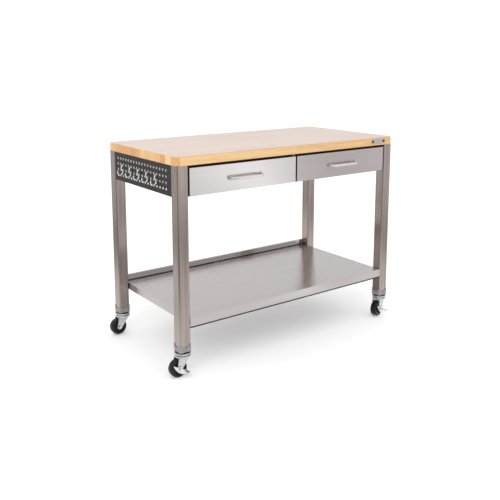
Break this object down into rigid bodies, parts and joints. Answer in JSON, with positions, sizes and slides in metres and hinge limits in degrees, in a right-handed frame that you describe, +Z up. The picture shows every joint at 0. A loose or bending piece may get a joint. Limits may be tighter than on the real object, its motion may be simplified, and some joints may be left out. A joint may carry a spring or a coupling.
{
  "type": "kitchen island cart",
  "caption": "Rolling kitchen island with a butcher-block top, steel legs, side-by-side drawers, a perforated side panel with S-hooks, a low shelf and swivel casters.",
  "frame": {"origin": "on the floor under the centre of the worktop", "axes": "+X along the length of the top to the right, -Y the side with the drawers, +Z up"},
  "size_m": [1.2592, 0.6454, 0.9144],
  "materials": {
    "butcher_block": "oiled satin",
    "brushed_steel_legs": "vertical brushed",
    "brushed_steel_panels": "brushed",
    "brushed_steel_fronts": "horizontal brushed",
    "brushed_steel_shelf": "brushed",
    "socket_grey": "moulded matt",
    "zinc_steel": "zinc plated",
    "bright_zinc": "bright zinc",
    "screws": "plain",
    "black_screws": "black oxide",
    "black_panel": "satin powder coat",
    "plate_steel": "brushed",
    "handle_steel": "satin",
    "hook_steel": "bright",
    "black_rubber": "matt",
    "black_plastic": "moulded"
  },
  "bodies": {
    "frame": {"wood_top": "butcher_block", "leg_front_left": "brushed_steel_legs", "foot_socket_front_left": "socket_grey", "leg_front_right": "brushed_steel_legs", "foot_socket_front_right": "socket_grey", "leg_rear_left": "brushed_steel_legs", "foot_socket_rear_left": "socket_grey", "leg_rear_right": "brushed_steel_legs", "foot_socket_rear_right": "socket_grey", "corner_brackets": "black_panel", "leg_screws": "screws", "pegboard_left": "black_panel", "pegboard_right": "black_panel", "back_panel": "brushed_steel_panels", "front_rail": "black_panel", "centre_divider": "zinc_steel", "top_screws": "screws", "name_plate": "plate_steel", "name_plate_screws": "black_screws", "slide_fixed_rails_left": "zinc_steel", "slide_fixed_rails_right": "zinc_steel", "shelf": "brushed_steel_shelf", "shelf_stiffeners": "zinc_steel", "shelf_bolts": "screws", "caster_stems": "bright_zinc"},
    "drawer_left": {"drawer_front_left": "brushed_steel_fronts", "drawer_box_left": "zinc_steel", "drawer_handle_left": "handle_steel", "handle_screws_left": "screws", "slide_drawer_rails_left": "zinc_steel"},
    "slide_middle_left": {"slide_middle_rails_left": "zinc_steel"},
    "drawer_right": {"drawer_front_right": "brushed_steel_fronts", "drawer_box_right": "zinc_steel", "drawer_handle_right": "handle_steel", "handle_screws_right": "screws", "slide_drawer_rails_right": "zinc_steel"},
    "slide_middle_right": {"slide_middle_rails_right": "zinc_steel"},
    "caster_front_left": {"caster_fork_front_left": "bright_zinc", "caster_axle_front_left": "bright_zinc"},
    "wheel_front_left": {"caster_tyre_front_left": "black_rubber", "caster_hub_front_left": "black_plastic"},
    "brake_front_left": {"brake_lever_front_left": "bright_zinc"},
    "caster_front_right": {"caster_fork_front_right": "bright_zinc", "caster_axle_front_right": "bright_zinc"},
    "wheel_front_right": {"caster_tyre_front_right": "black_rubber", "caster_hub_front_right": "black_plastic"},
    "brake_front_right": {"brake_lever_front_right": "bright_zinc"},
    "caster_rear_left": {"caster_fork_rear_left": "bright_zinc", "caster_axle_rear_left": "bright_zinc"},
    "wheel_rear_left": {"caster_tyre_rear_left": "black_rubber", "caster_hub_rear_left": "black_plastic"},
    "caster_rear_right": {"caster_fork_rear_right": "bright_zinc", "caster_axle_rear_right": "bright_zinc"},
    "wheel_rear_right": {"caster_tyre_rear_right": "black_rubber", "caster_hub_rear_right": "black_plastic"},
    "hook_1": {"s_hook_1": "hook_steel"},
    "hook_2": {"s_hook_2": "hook_steel"},
    "hook_3": {"s_hook_3": "hook_steel"},
    "hook_4": {"s_hook_4": "hook_steel"},
    "hook_5": {"s_hook_5": "hook_steel"}
  },
  "joints": [
    {"name": "drawer_left_slide", "type": "slide", "parent": "frame", "child": "drawer_left", "axis": [0, -1, 0], "range_m": [0, 0.4]},
    {"name": "slide_middle_left_run", "type": "slide", "parent": "frame", "child": "slide_middle_left", "axis": [0, -1, 0], "range_m": [0, 0.2]},
    {"name": "drawer_right_slide", "type": "slide", "parent": "frame", "child": "drawer_right", "axis": [0, -1, 0], "range_m": [0, 0.4]},
    {"name": "slide_middle_right_run", "type": "slide", "parent": "frame", "child": "slide_middle_right", "axis": [0, -1, 0], "range_m": [0, 0.2]},
    {"name": "caster_front_left_swivel", "type": "hinge", "parent": "frame", "child": "caster_front_left", "pos_m": [-0.5808, -0.277, 0.09], "axis": [0, 0, 1], "continuous": true},
    {"name": "wheel_front_left_spin", "type": "hinge", "parent": "caster_front_left", "child": "wheel_front_left", "pos_m": [-0.6058, -0.277, 0.0381], "axis": [0, -1, 0], "continuous": true},
    {"name": "brake_front_left_press", "type": "hinge", "parent": "caster_front_left", "child": "brake_front_left", "pos_m": [-0.6058, -0.277, 0.0381], "axis": [0, 1, 0], "range_deg": [0, 20]},
    {"name": "caster_front_right_swivel", "type": "hinge", "parent": "frame", "child": "caster_front_right", "pos_m": [0.5808, -0.277, 0.09], "axis": [0, 0, 1], "continuous": true},
    {"name": "wheel_front_right_spin", "type": "hinge", "parent": "caster_front_right", "child": "wheel_front_right", "pos_m": [0.55683, -0.2841, 0.0381], "axis": [0.284, -0.9588, 0], "continuous": true},
    {"name": "brake_front_right_press", "type": "hinge", "parent": "caster_front_right", "child": "brake_front_right", "pos_m": [0.55683, -0.2841, 0.0381], "axis": [-0.284, 0.9588, 0], "range_deg": [0, 20]},
    {"name": "caster_rear_left_swivel", "type": "hinge", "parent": "frame", "child": "caster_rear_left", "pos_m": [-0.5808, 0.277, 0.09], "axis": [0, 0, 1], "continuous": true},
    {"name": "wheel_rear_left_spin", "type": "hinge", "parent": "caster_rear_left", "child": "wheel_rear_left", "pos_m": [-0.6058, 0.277, 0.0381], "axis": [0, -1, 0], "continuous": true},
    {"name": "caster_rear_right_swivel", "type": "hinge", "parent": "frame", "child": "caster_rear_right", "pos_m": [0.5808, 0.277, 0.09], "axis": [0, 0, 1], "continuous": true},
    {"name": "wheel_rear_right_spin", "type": "hinge", "parent": "caster_rear_right", "child": "wheel_rear_right", "pos_m": [0.55604, 0.28048, 0.0381], "axis": [-0.1392, -0.9903, 0], "continuous": true},
    {"name": "hook_1_swing", "type": "hinge", "parent": "frame", "child": "hook_1", "pos_m": [-0.603, 0.1712, 0.8249], "axis": [1, 0, 0], "range_deg": [-35, 35]},
    {"name": "hook_2_swing", "type": "hinge", "parent": "frame", "child": "hook_2", "pos_m": [-0.603, 0.095, 0.8249], "axis": [1, 0, 0], "range_deg": [-35, 35]},
    {"name": "hook_3_swing", "type": "hinge", "parent": "frame", "child": "hook_3", "pos_m": [-0.603, 0.0188, 0.8249], "axis": [1, 0, 0], "range_deg": [-35, 35]},
    {"name": "hook_4_swing", "type": "hinge", "parent": "frame", "child": "hook_4", "pos_m": [-0.603, -0.0574, 0.8249], "axis": [1, 0, 0], "range_deg": [-35, 35]},
    {"name": "hook_5_swing", "type": "hinge", "parent": "frame", "child": "hook_5", "pos_m": [-0.603, -0.1336, 0.8249], "axis": [1, 0, 0], "range_deg": [-35, 35]}
  ],
  "couplings": [
    {"joint": "slide_middle_left_run", "follows": "drawer_left_slide", "ratio": 0.5},
    {"joint": "slide_middle_right_run", "follows": "drawer_right_slide", "ratio": 0.5}
  ]
}
